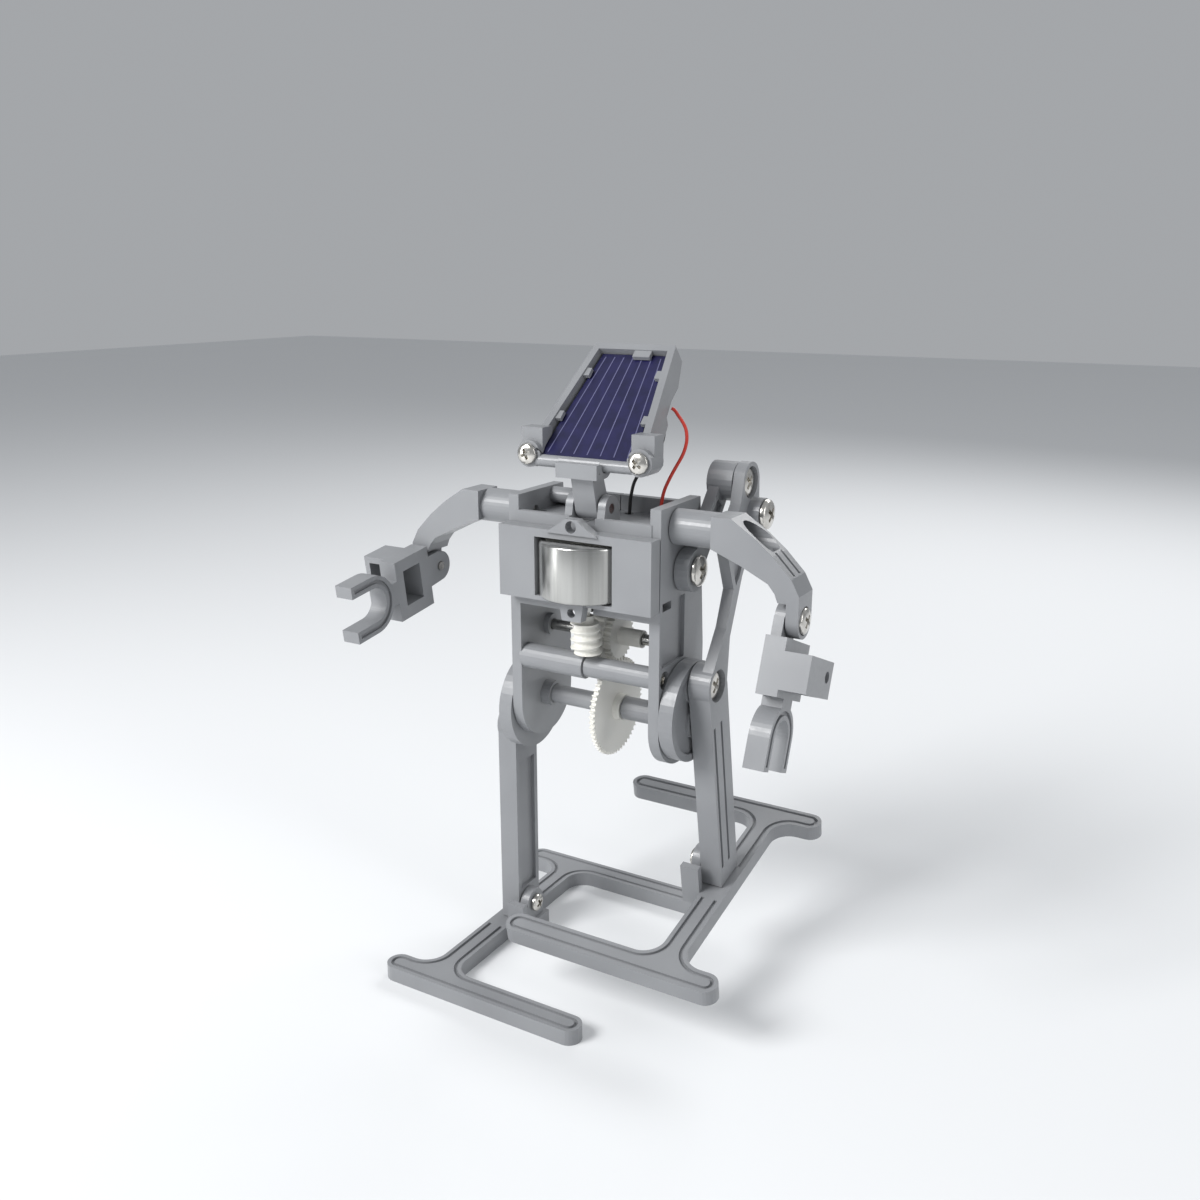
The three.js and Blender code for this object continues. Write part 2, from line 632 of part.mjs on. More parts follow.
// side view of the C-shaped hand, pulled in by `inset` all round
function handOutline(inset) {
  const outer = hand.outerRadius - inset;
  const inner = hand.innerRadius + inset;
  const tip = hand.tip + inset;
  const shape = new THREE.Shape();
  shape.moveTo(hand.y - outer, tip);
  shape.lineTo(hand.y - outer, hand.z);
  shape.absarc(hand.y, hand.z, outer, Math.PI, 0, true);
  shape.lineTo(hand.y + outer, tip);
  shape.lineTo(hand.y + inner, tip);
  shape.lineTo(hand.y + inner, hand.z);
  shape.absarc(hand.y, hand.z, inner, 0, Math.PI, false);
  shape.lineTo(hand.y - inner, tip);
  shape.closePath();
  return shape;
}

function rectangle(x0, y0, x1, y1) {
  return polygon([[x0, y0], [x1, y0], [x1, y1], [x0, y1]]);
}

// right forearm: a window frame beside a hollow box, with the hand below the frame
function forearmSolid() {
  const { inner, mid, outer, front, back, top, bottom } = forearm;
  const boxTop = -8.2;
  const boxBottom = -17.4;
  const tab = new THREE.Shape();
  tab.moveTo(-elbow.radius, top - 1);
  tab.lineTo(-elbow.radius, 0);
  tab.absarc(0, 0, elbow.radius - gap, Math.PI, 0, true);
  tab.lineTo(elbow.radius, top - 1);
  tab.closePath();
  const body = join(
    sideProfile(rectangle(front, bottom, back, top), inner, mid),
    sideProfile(rectangle(front, boxBottom, back, boxTop), mid - 0.5, outer),
    sideProfile(tab, inner, lugInner - gap, 14),
    block(inner, mid, hand.y - 3.2, hand.y + 3.2, hand.z + 6, bottom + 1),
    sideProfile(handOutline(0), inner, mid, 12),
  );
  const pocketDepth = 0.7;
  return cut(
    body,
    sideProfile(rectangle(front + 3.4, bottom + 3, back - 3.6, top - 4), inner - 1, mid + 1),
    block(mid + 1.6, outer - 1.6, front + 1.8, back - 1.8, boxBottom - 1, boxTop - 1.8),
    rodX(1.5, outer - 2.5, outer + 1, back - 3.6, boxTop - 4, 16),
    sideProfile(handOutline(1.1), inner - 1, inner + pocketDepth, 12),
    sideProfile(handOutline(1.1), mid - pocketDepth, mid + 1, 12),
    rodX(1.35, inner - 1, mid + 1, 0, 0, 16),
  );
}

// ---------------------------------------------------------------- head
function neckSolid() {
  const lean = Math.atan2(rod.y - neckPivot.y, rod.z - neckPivot.z);
  const reach = Math.hypot(rod.y - neckPivot.y, rod.z - neckPivot.z);
  const web = new THREE.Shape();
  web.absarc(0, 0, 3.1, Math.PI, 2 * Math.PI, false);
  web.lineTo(2.4, reach);
  web.lineTo(-2.4, reach);
  web.closePath();
  const turn = new THREE.Matrix4().makeRotationX(-lean);
  const profile = new THREE.ExtrudeGeometry(web, { depth: 6.4, bevelEnabled: false, curveSegments: 16 });
  profile.applyMatrix4(new THREE.Matrix4().makeBasis(axisY, axisZ, axisX).setPosition(-3.2, 0, 0));
  profile.applyMatrix4(turn);
  profile.translate(0, neckPivot.y, neckPivot.z);
  const clip = join(
    rodX(3.2, -6, 6, rod.y, rod.z),
    block(-6, 6, rod.y - 4.4, rod.y, rod.z - 3.2, rod.z - 1.9),
    block(-6, 6, rod.y - 4.4, rod.y - 3, rod.z - 3.2, rod.z + 0.6),
  );
  const clipMouth = block(-7, 7, rod.y - 2.9, rod.y + 5, rod.z + 0.2, rod.z + 5);
  return cut(
    join(toSolid(profile), cut(clip, clipMouth)),
    rodX(rod.radius + gap, -9, 9, rod.y, rod.z, 24),
    rodX(1.2 + gap, -9, 9, neckPivot.y, neckPivot.z, 20),
  );
}

// side wall of the panel frame: (distance up the panel, distance in front of it)
function panelWallOutline() {
  return polygon([
    [0, panel.low], [11, panel.low], [13, -5.2], [18.5, -5.2], [19.5, -3.4], [25, -3.4],
    [31, -5], [panel.length, -3], [panel.length, panel.high], [0, panel.high],
  ]);
}

// the frame lies flat here: x across, y up the panel, z in front of it
function panelFrameFlat() {
  const taper = Math.atan2(panel.bottomHalf - panel.topHalf, panel.length);
  const halfAt = (along) => panel.bottomHalf - (along * (panel.bottomHalf - panel.topHalf)) / panel.length;
  const plan = (inset, from, to) => polygon([
    [-halfAt(from) + inset, from], [halfAt(from) - inset, from],
    [halfAt(to) - inset, to], [-halfAt(to) + inset, to],
  ]);
  const wall = (side) => {
    const geometry = toGeometry(sideProfile(panelWallOutline(), -panel.rail, 0));
    geometry.rotateZ(taper);
    geometry.translate(panel.bottomHalf, 0, 0);
    return toSolid(side > 0 ? geometry : mirrored(geometry));
  };
  const lip = (side, along) => {
    const x = side * (halfAt(along) - panel.rail - 0.3);
    return block(x - 1.3, x + 1.3, along - 1.3, along + 1.3, cell.high + gap, cell.high + 1.4);
  };
  const inside = planProfile(plan(panel.rail, -1, cell.end + gap), cell.low - gap, panel.high + 2);
  const tray = planProfile(plan(0.2, 0, panel.length), panel.low, panel.high);
  const rim = cut(tray, inside, block(-20, 20, -1, 0.9, cell.low - gap, panel.high + 1));
  return join(
    rim,
    wall(1),
    wall(-1),
    lip(1, 13.5),
    lip(1, 28.5),
    lip(-1, 13.5),
    lip(-1, 28.5),
    block(0.6, 5.6, panel.length - 4.2, panel.length - 1, cell.high + gap, cell.high + 1.5),
  );
}

function standPanel(solid) {
  const geometry = solid.isBufferGeometry ? solid : toGeometry(solid);
  geometry.rotateX(panelTilt);
  geometry.translate(0, rod.y, rod.z);
  return toSolid(geometry);
}

function panelFrameSolid() {
  const solid = join(
    standPanel(panelFrameFlat()),
    rodX(rod.radius, -rod.halfLength, rod.halfLength, rod.y, rod.z, 24),
    ...[-1, 1].map((side) => rodY(3.5, rod.y - 1.2, rod.y + 5, side * 16.2, rod.z + 1.6, 28)),
    ...[-1, 1].map((side) => block(
      side * 16.2 - 3.2, side * 16.2 + 3.2, rod.y + 0.6, rod.y + 5.4, rod.z + 0.4, rod.z + 8.2,
    )),
  );
  const neckRoom = block(-6.6, 6.6, rod.y - 5, rod.y + 4.2, rod.z - 5, rod.z + 1.2);
  const keptRod = rodX(rod.radius, -7.5, 7.5, rod.y, rod.z, 24);
  const cellRoom = standPanel(planProfile(cellOutline(gap), cell.low - gap, panel.high + 3));
  return cut(
    join(cut(solid, neckRoom), keptRod),
    cut(cellRoom, standPanel(block(-20, 20, 1.4, 40, cell.high + gap, panel.high + 5))),
    ...[-1, 1].map((side) => rodY(1.3, rod.y - 3, rod.y + 4, side * 16.2, rod.z + 1.6, 16)),
  );
}

function cellOutline(grow) {
  return polygon([
    [-cell.bottomHalf - grow, cell.start - grow], [cell.bottomHalf + grow, cell.start - grow],
    [cell.topHalf + grow, cell.end + grow], [-cell.topHalf - grow, cell.end + grow],
  ]);
}

function cellSolid() {
  return standPanel(planProfile(cellOutline(0), cell.low, cell.high));
}

// ---------------------------------------------------------------- wires
function wireSolid(points) {
  const curve = new THREE.CatmullRomCurve3(points.map(([x, y, z]) => new THREE.Vector3(x, y, z)));
  const section = new THREE.Shape();
  section.absarc(0, 0, wireRadius, 0, 2 * Math.PI, false);
  const tube = new THREE.ExtrudeGeometry(section, { steps: 16, extrudePath: curve, curveSegments: 4 });
  return toSolid(tube);
}

// ---------------------------------------------------------------- assembly
const robot = new THREE.Group();
robot.position.set(centreShift.x, centreShift.y, 0);

const torso = new THREE.Group();
torso.add(sidePiece("torso_left", torsoHalf(true), grey, -1));
torso.add(sidePiece("torso_right", torsoHalf(false), grey, 1));
torso.add(piece("motor_cover", motorCover(), grey));
torso.add(piece("motor_can", motorCan(), brushedSteel));
torso.add(piece("motor_end_cap", motorEndCap(), white));
torso.add(piece("idler_axle", rodX(1.5, -wallInner - 1.2, wallInner + 1.2, idler.y, idler.z, 24), brushedSteel));
torso.add(screwAlongX("spacer_screw", spacerScrew, wallOuter - 1.25, spacer.y, spacer.z, 1));
for (const [name, side] of [["left", -1], ["right", 1]]) {
  torso.add(screwAlongX(
    `${name}_rocker_screw`, jointScrew, rockerOuter + gap, rockerPivot.y, rockerPivot.z, side,
  ));
  torso.add(screwAlongX(
    `${name}_shoulder_screw`, shoulderScrew, shoulder.x + 8 + gap, shoulder.y, shoulder.z, side,
  ));
}
torso.add(piece("neck_pin", rodX(1.2, -5.8, 5.8, neckPivot.y, neckPivot.z, 20), brushedSteel));
robot.add(torso);

robot.add(piece("worm", wormWithShaft(), white));

const idlerGroup = new THREE.Group();
idlerGroup.position.set(0, idler.y, idler.z);
idlerGroup.add(piece("idler_wheel", idlerWheel(), white));
robot.add(idlerGroup);

const crank = new THREE.Group();
crank.position.set(0, crankAxle.y, crankAxle.z);
crank.add(piece("crank_axle", rodX(crankAxle.radius, -25.6, 25.6, 0, 0), grey));
crank.add(piece("crank_gear", crankGearWheel(), white));
for (const [name, side] of [["left", -1], ["right", 1]]) {
  const throwGroup = new THREE.Group();
  throwGroup.rotation.x = side > 0 ? 0 : Math.PI;
  throwGroup.add(sidePiece(`${name}_crank_disc`, crankDiscSolid(), grey, side));
  throwGroup.add(screwAlongX(`${name}_crank_screw`, pinScrew, pinEnd + gap, 0, crankRadius, side));
  crank.add(throwGroup);
}
robot.add(crank);

for (const [name, side] of [["left", -1], ["right", 1]]) {
  const pinHeight = crankAxle.z + side * crankRadius;
  const lean = side > 0 ? rightLegLean : 0;
  const leg = new THREE.Group();
  leg.position.set(0, crankAxle.y, pinHeight);
  leg.rotation.x = lean;
  leg.add(sidePiece(`${name}_leg`, legSolid(), grey, side));
  leg.add(sidePiece(`${name}_foot`, footSolid(), grey, side));
  leg.add(screwAlongX(`${name}_tie_screw`, tieScrew, legOuter - 1.5, legTie.y, legTie.z, side));
  leg.add(screwAlongX(`${name}_stud_screw`, studScrew, legOuter + 3.2 + gap, legStud.y, legStud.z, side));
  leg.add(screwAlongX(`${name}_ankle_screw`, ankleScrew, legInner - 3.3, ankle.y, ankle.z, side));
  robot.add(leg);

  const tieY = crankAxle.y + legTie.y * Math.cos(lean) - legTie.z * Math.sin(lean);
  const tieZ = pinHeight + legTie.y * Math.sin(lean) + legTie.z * Math.cos(lean);
  const rocker = new THREE.Group();
  rocker.position.set(0, rockerPivot.y, rockerPivot.z);
  rocker.rotation.x = -Math.atan2(tieY - rockerPivot.y, tieZ - rockerPivot.z);
  rocker.add(sidePiece(`${name}_rocker`, rockerSolid(), grey, side));
  robot.add(rocker);

  const arm = new THREE.Group();
  arm.position.set(0, shoulder.y, shoulder.z);
  arm.add(sidePiece(`${name}_upper_arm`, upperArmSolid(), grey, side));
  arm.add(screwAlongX(`${name}_elbow_screw`, elbowScrew, lugOuter - 0.4, elbow.y, elbow.z, side));
  const lowerArm = new THREE.Group();
  lowerArm.position.set(0, elbow.y, elbow.z);
  lowerArm.rotation.x = side > 0 ? rightElbowBend : leftElbowBend;
  lowerArm.add(sidePiece(`${name}_forearm`, forearmSolid(), grey, side));
  arm.add(lowerArm);
  robot.add(arm);
}

robot.add(piece("neck", neckSolid(), grey));
const head = new THREE.Group();
head.add(piece("panel_frame", panelFrameSolid(), grey));
head.add(piece("solar_cell", cellSolid(), navy));
for (const [name, side] of [["left", -1], ["right", 1]]) {
  const geometry = toGeometry(screwSolid(panelScrew));
  geometry.rotateX(Math.PI);
  geometry.translate(side * 16.2, rod.y - 1.2 - gap, rod.z + 1.6);
  head.add(piece(`${name}_panel_screw`, geometry, nickel));
}
robot.add(head);

robot.add(piece("red_wire", wireSolid([
  [14.8, 7.2, 158.2], [15.7, 7.4, 157.5], [16.4, 7.4, 156.6], [17.7, 7.2, 155.2], [18.8, 7, 153.6],
  [19.4, 6.7, 152], [19.6, 6.4, 150.2], [19.3, 6.1, 148.2], [18.6, 5.8, 146.2], [17.5, 5.5, 144.1],
  [16.4, 5.2, 142], [15.3, 4.9, 139.7], [14.4, 4.6, 137.4], [13.9, 4.3, 135], [13.7, 4.2, 132.6],
  [13.6, 4.2, 129], [13.6, 4.2, 124.8],
]), redWire));
robot.add(piece("black_wire", wireSolid([
  [10.6, 7.2, 158.2], [11, 7.5, 157.3], [11.4, 7.6, 156.4], [12.2, 7.5, 154.8], [12.6, 7.4, 153],
  [12.7, 7.1, 151.2], [12.4, 6.8, 149.4], [11.7, 6.5, 147.5], [10.6, 6.2, 145.8], [9.2, 5.9, 144],
  [7.6, 5.6, 142.2], [6.2, 5.3, 140.4], [5.2, 5, 138.4], [4.7, 4.7, 136.1], [4.4, 4.5, 133.8],
  [4.3, 4.4, 131.4], [4.2, 4.3, 129], [4.2, 4.2, 124.8],
]), blackWire));

export default robot;
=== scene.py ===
import json
import math

import bmesh
import bpy
from mathutils import Matrix, Vector

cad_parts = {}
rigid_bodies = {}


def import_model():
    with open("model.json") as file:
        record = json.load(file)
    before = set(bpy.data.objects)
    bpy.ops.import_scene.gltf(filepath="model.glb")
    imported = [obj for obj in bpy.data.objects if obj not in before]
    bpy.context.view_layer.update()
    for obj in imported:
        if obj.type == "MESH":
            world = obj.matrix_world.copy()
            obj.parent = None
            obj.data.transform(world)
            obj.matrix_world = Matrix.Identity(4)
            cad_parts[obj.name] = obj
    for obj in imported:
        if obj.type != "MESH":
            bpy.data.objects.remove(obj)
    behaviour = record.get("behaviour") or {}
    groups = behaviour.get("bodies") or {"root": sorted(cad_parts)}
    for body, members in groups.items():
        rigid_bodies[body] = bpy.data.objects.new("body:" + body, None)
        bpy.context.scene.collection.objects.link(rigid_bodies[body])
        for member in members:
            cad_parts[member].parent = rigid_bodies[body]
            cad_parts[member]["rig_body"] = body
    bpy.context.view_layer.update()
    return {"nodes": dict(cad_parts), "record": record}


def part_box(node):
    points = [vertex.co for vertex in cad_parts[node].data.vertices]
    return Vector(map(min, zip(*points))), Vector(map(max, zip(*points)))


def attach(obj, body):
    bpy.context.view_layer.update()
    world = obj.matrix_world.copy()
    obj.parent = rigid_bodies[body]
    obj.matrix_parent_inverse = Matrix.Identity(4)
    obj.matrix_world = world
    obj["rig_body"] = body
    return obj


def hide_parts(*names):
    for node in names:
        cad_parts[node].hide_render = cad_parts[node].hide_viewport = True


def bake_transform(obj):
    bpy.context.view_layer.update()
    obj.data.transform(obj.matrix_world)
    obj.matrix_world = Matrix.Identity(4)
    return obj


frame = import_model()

nodes = frame["nodes"]

MM = 0.001

# ---------------------------------------------------------------- driving sizes
CENTRE_SHIFT_Y = -2.454          # mm, the same shift that part.mjs gives the whole robot
BEVEL_WIDTH = 0.28 * MM          # moulded edges are a little round
SMOOTH_ANGLE = math.radians(32)
BEVEL_ANGLE = math.radians(38)
BEVEL_SEGMENTS = 2
FLAT_ANGLE = math.radians(0.6)   # faces that lean apart by less than this are one flat face

# camera, in mm, before the centre shift
CAMERA_PLACE = (151.04, -262.80, 191.88)
CAMERA_AZIMUTH = math.radians(30.26)
CAMERA_PITCH = math.radians(15.67)
CAMERA_LENS = 35.14
SENSOR_WIDTH = 36.0

# wires: the same route points as in part.mjs, in mm before the centre shift
WIRE_DIAMETER = 0.9
WIRE_SIDES = 16
STEPS_PER_SPAN = 4               # points of the drawn wire from one route point to the next
RED_ROUTE = [
    (14.8, 7.2, 158.2), (15.7, 7.4, 157.5), (16.4, 7.4, 156.6), (17.7, 7.2, 155.2), (18.8, 7, 153.6),
    (19.4, 6.7, 152), (19.6, 6.4, 150.2), (19.3, 6.1, 148.2), (18.6, 5.8, 146.2), (17.5, 5.5, 144.1),
    (16.4, 5.2, 142), (15.3, 4.9, 139.7), (14.4, 4.6, 137.4), (13.9, 4.3, 135), (13.7, 4.2, 132.6),
    (13.6, 4.2, 129), (13.6, 4.2, 124.8),
]
BLACK_ROUTE = [
    (10.6, 7.2, 158.2), (11, 7.5, 157.3), (11.4, 7.6, 156.4), (12.2, 7.5, 154.8), (12.6, 7.4, 153),
    (12.7, 7.1, 151.2), (12.4, 6.8, 149.4), (11.7, 6.5, 147.5), (10.6, 6.2, 145.8), (9.2, 5.9, 144),
    (7.6, 5.6, 142.2), (6.2, 5.3, 140.4), (5.2, 5, 138.4), (4.7, 4.7, 136.1), (4.4, 4.5, 133.8),
    (4.3, 4.4, 131.4), (4.2, 4.3, 129), (4.2, 4.2, 124.8),
]

# solar cell: a tilted trapezoid with thin collector lines along it
PANEL_HINGE = (-11.5, 145.2)
PANEL_TILT = math.radians(43.4)
CELL_START = 1.2
CELL_END = 36.1
CELL_BOTTOM_HALF = 13.6
CELL_TOP_HALF = 9.6
CELL_FACE = 0.8
LINE_COUNT = 7
LINE_WIDTH = 0.28
LINE_RISE = 0.05
LINE_INSET = 1                   # from each end of the cell


def shifted(point):
    """A point in mm before the centre shift, as a place in the row frame in metres."""
    x, y, z = point
    return Vector((x, y + CENTRE_SHIFT_Y, z)) * MM


# ---------------------------------------------------------------- camera
def make_camera():
    camera = bpy.data.objects.new("camera", bpy.data.cameras.new("camera"))
    bpy.context.scene.collection.objects.link(camera)
    camera.data.lens = CAMERA_LENS
    camera.data.sensor_width = SENSOR_WIDTH
    camera.data.clip_start = 0.01
    camera.location = shifted(CAMERA_PLACE)
    camera.rotation_euler = (math.pi / 2 - CAMERA_PITCH, 0, CAMERA_AZIMUTH)
    bpy.context.scene.camera = camera


# ---------------------------------------------------------------- materials
def new_material(name, colour, roughness, metallic=0.0):
    material = bpy.data.materials.new(name)
    material.use_nodes = True
    shader = material.node_tree.nodes["Principled BSDF"]
    shader.inputs["Base Color"].default_value = (*colour, 1)
    shader.inputs["Roughness"].default_value = roughness
    shader.inputs["Metallic"].default_value = metallic
    return material, shader


def noise_texture(material, scale, detail, stretch=(1, 1, 1)):
    tree = material.node_tree
    place = tree.nodes.new("ShaderNodeTexCoord")
    mapping = tree.nodes.new("ShaderNodeMapping")
    mapping.inputs["Scale"].default_value = stretch
    noise = tree.nodes.new("ShaderNodeTexNoise")
    noise.inputs["Scale"].default_value = scale
    noise.inputs["Detail"].default_value = detail
    tree.links.new(place.outputs["Object"], mapping.inputs["Vector"])
    tree.links.new(mapping.outputs["Vector"], noise.inputs["Vector"])
    return noise


def vary(material, shader, noise, socket, low, high):
    """A number that runs from low to high with the noise."""
    spread = material.node_tree.nodes.new("ShaderNodeMapRange")
    spread.inputs["From Min"].default_value = 0.3
    spread.inputs["From Max"].default_value = 0.7
    spread.inputs["To Min"].default_value = low
    spread.inputs["To Max"].default_value = high
    material.node_tree.links.new(noise.outputs["Fac"], spread.inputs["Value"])
    material.node_tree.links.new(spread.outputs["Result"], shader.inputs[socket])


def tint(material, shader, noise, dark, light):
    """A colour that runs from dark to light with the noise."""
    ramp = material.node_tree.nodes.new("ShaderNodeValToRGB")
    ramp.color_ramp.elements[0].position = 0.35
    ramp.color_ramp.elements[0].color = (*dark, 1)
    ramp.color_ramp.elements[1].position = 0.65
    ramp.color_ramp.elements[1].color = (*light, 1)
    material.node_tree.links.new(noise.outputs["Fac"], ramp.inputs["Fac"])
    material.node_tree.links.new(ramp.outputs["Color"], shader.inputs["Base Color"])


def moulded_plastic(name, dark, light, rough_low, rough_high):
    material, shader = new_material(name, light, rough_high)
    broad = noise_texture(material, 45, 2)
    fine = noise_texture(material, 900, 3)
    tint(material, shader, broad, dark, light)
    vary(material, shader, fine, "Roughness", rough_low, rough_high)
    shader.inputs["Specular IOR Level"].default_value = 0.5
    return material


def drawn_metal(name, dark, light, rough_low, rough_high, stretch):
    material, shader = new_material(name, light, rough_high, 1.0)
    lines = noise_texture(material, 700, 2, stretch)
    tint(material, shader, lines, dark, light)
    vary(material, shader, lines, "Roughness", rough_low, rough_high)
    return material


def cell_material():
    material, shader = new_material("cell_navy", (0.009, 0.009, 0.055), 0.3)
    grain = noise_texture(material, 300, 3)
    tint(material, shader, grain, (0.007, 0.007, 0.044), (0.012, 0.011, 0.066))
    shader.inputs["Coat Weight"].default_value = 0.35
    shader.inputs["Coat Roughness"].default_value = 0.22
    return material


GREY = moulded_plastic("grey_plastic", (0.245, 0.251, 0.263), (0.275, 0.282, 0.294), 0.28, 0.38)
WHITE = moulded_plastic("white_plastic", (0.72, 0.71, 0.66), (0.80, 0.79, 0.74), 0.36, 0.46)
NICKEL = drawn_metal("nickel_plate", (0.60, 0.58, 0.54), (0.72, 0.70, 0.66), 0.16, 0.24, (1, 1, 1))
STEEL = drawn_metal("drawn_steel", (0.40, 0.40, 0.385), (0.50, 0.50, 0.485), 0.22, 0.27, (1, 1, 0.02))
NAVY = cell_material()
LINE = new_material("collector_line", (0.15, 0.15, 0.28), 0.4, 0.3)[0]
RED = moulded_plastic("red_insulation", (0.55, 0.035, 0.022), (0.66, 0.05, 0.03), 0.35, 0.45)
BLACK = moulded_plastic("black_insulation", (0.006, 0.006, 0.007), (0.012, 0.012, 0.013), 0.35, 0.45)

SLOT_MATERIAL = {
    "grey_plastic": GREY,
    "white_plastic": WHITE,
    "nickel": NICKEL,
    "brushed_steel": STEEL,
    "solar_cell": NAVY,
    "red_insulation": RED,
    "black_insulation": BLACK,
}
slot_of = {entry["node"]: entry["material_slot"] for entry in frame["record"]["subparts"]}


# ---------------------------------------------------------------- helpers for pieces
def add_object(name, mesh, material, body):
    piece = bpy.data.objects.new(name, mesh)
    bpy.context.scene.collection.objects.link(piece)
    mesh.materials.clear()
    mesh.materials.append(material)
    if body:
        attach(piece, body)
    return piece


def smooth(mesh):
    mesh.polygons.foreach_set("use_smooth", [True] * len(mesh.polygons))
    mesh.set_sharp_from_angle(angle=SMOOTH_ANGLE)
    mesh.update()


def evaluated_mesh(piece):
    """The piece's mesh with its modifiers applied, as a new mesh."""
    graph = bpy.context.evaluated_depsgraph_get()
    return bpy.data.meshes.new_from_object(piece.evaluated_get(graph))


def soften_edges(piece):
    """Joins the flat faces that a solid's triangles make, then rounds its sharp edges."""
    flat = piece.modifiers.new("flat_faces", "DECIMATE")
    flat.decimate_type = "DISSOLVE"
    flat.angle_limit = FLAT_ANGLE
    bevel = piece.modifiers.new("round_edges", "BEVEL")
    bevel.width = BEVEL_WIDTH
    bevel.segments = BEVEL_SEGMENTS
    bevel.limit_method = "ANGLE"
    bevel.angle_limit = BEVEL_ANGLE
    bevel.use_clamp_overlap = True
    bevel.miter_outer = "MITER_ARC"


# ---------------------------------------------------------------- CAD nodes with better looks
def dress_cad_nodes():
    for name, piece in nodes.items():
        slot = slot_of[name]
        piece.data.materials.clear()
        piece.data.materials.append(SLOT_MATERIAL[slot])
        smooth(piece.data)
        if slot == "grey_plastic":
            soften_edges(piece)


# ---------------------------------------------------------------- screws
SCREW_SIDES = 40
DOME_STEPS = 6
HEAD_RIM = 0.46                  # share of a head's height that is its upright rim
CROSS_ARM = 0.56                 # the cross recess, as shares of the head's radius and height
CROSS_HALF_WIDTH = 0.15
CROSS_DEPTH = 0.75


def lathe(profile, sides):
    """A mesh turned about Z from (radius, height) points that start and end on the axis."""
    mesh = bpy.data.meshes.new("lathe")
    verts = [(0, 0, profile[0][1])]
    for radius, height in profile[1:-1]:
        for i in range(sides):
            angle = 2 * math.pi * i / sides
            verts.append((radius * math.cos(angle), radius * math.sin(angle), height))
    verts.append((0, 0, profile[-1][1]))
    faces = [(0, 1 + (i + 1) % sides, 1 + i) for i in range(sides)]
    rings = len(profile) - 2
    for ring in range(rings - 1):
        low = 1 + ring * sides
        high = low + sides
        for i in range(sides):
            following = (i + 1) % sides
            faces.append((low + i, low + following, high + following, high + i))
    last = 1 + (rings - 1) * sides
    top = len(verts) - 1
    faces += [(top, last + i, last + (i + 1) % sides) for i in range(sides)]
    mesh.from_pydata(verts, [], faces)
    mesh.update()
    return mesh


def cross_cutter(arm, half_width, top, depth):
    """A cross-shaped punch whose arms narrow a little towards the bottom."""
    shape = bmesh.new()
    for along, across in (("x", "y"), ("y", "x")):
        corners = []
        for height, taper in ((top - depth, 0.72), (top + depth, 1.25)):
            for a, b in ((-1, -1), (1, -1), (1, 1), (-1, 1)):
                values = {along: a * arm * taper, across: b * half_width * taper}
                corners.append(shape.verts.new((values["x"], values["y"], height)))
        quads = [(3, 2, 1, 0), (4, 5, 6, 7), (0, 1, 5, 4), (1, 2, 6, 5), (2, 3, 7, 6), (3, 0, 4, 7)]
        for quad in quads:
            shape.faces.new([corners[k] for k in quad])
    bmesh.ops.recalc_face_normals(shape, faces=shape.faces)
    mesh = bpy.data.meshes.new("cross")
    shape.to_mesh(mesh)
    shape.free()
    return mesh


def screw_head(radius, height, shank_radius, shank_length):
    """A domed cross-head screw along +Z with the underside of its head at zero."""
    rim = HEAD_RIM * height
    profile = [
        (0, -shank_length),
        (shank_radius, -shank_length),
        (shank_radius, 0),
        (0.94 * radius, 0),
    ]
    profile += [(radius, 0.08 * height), (radius, rim)]
    for step in range(1, DOME_STEPS):
        angle = (step / DOME_STEPS) * math.pi / 2
        profile.append((radius * math.cos(angle), rim + (height - rim) * math.sin(angle)))
    profile.append((0, height))
    head = bpy.data.objects.new("head", lathe(profile, SCREW_SIDES))
    cross = cross_cutter(CROSS_ARM * radius, CROSS_HALF_WIDTH * radius, height, CROSS_DEPTH * height)
    cutter = bpy.data.objects.new("cutter", cross)
    for helper in (head, cutter):
        bpy.context.scene.collection.objects.link(helper)
    cut = head.modifiers.new("cross", "BOOLEAN")
    cut.object = cutter
    cut.operation = "DIFFERENCE"
    cut.solver = "EXACT"
    cut.use_self = True
    bpy.context.view_layer.update()
    mesh = evaluated_mesh(head)
    bpy.data.objects.remove(head)
    bpy.data.objects.remove(cutter)
    smooth(mesh)
    return mesh


# head height and shank radius in mm for each kind of screw, and the way its head faces
SCREW_KINDS = {
    "rocker": (1.6, 1.3, "outward"),
    "shoulder": (1.2, 1.2, "outward"),
    "crank": (1.4, 1.3, "outward"),
    "tie": (1.2, 1.1, "outward"),
    "stud": (1.9, 1.3, "outward"),
    "ankle": (1.5, 1.1, "inward"),
    "elbow": (1.4, 1.2, "outward"),
    "spacer": (0.9, 1.0, "right"),
    "panel": (1.4, 1.1, "front"),
}
SCREW_TURN = {"left": math.radians(24), "right": math.radians(52), "spacer": math.radians(15)}


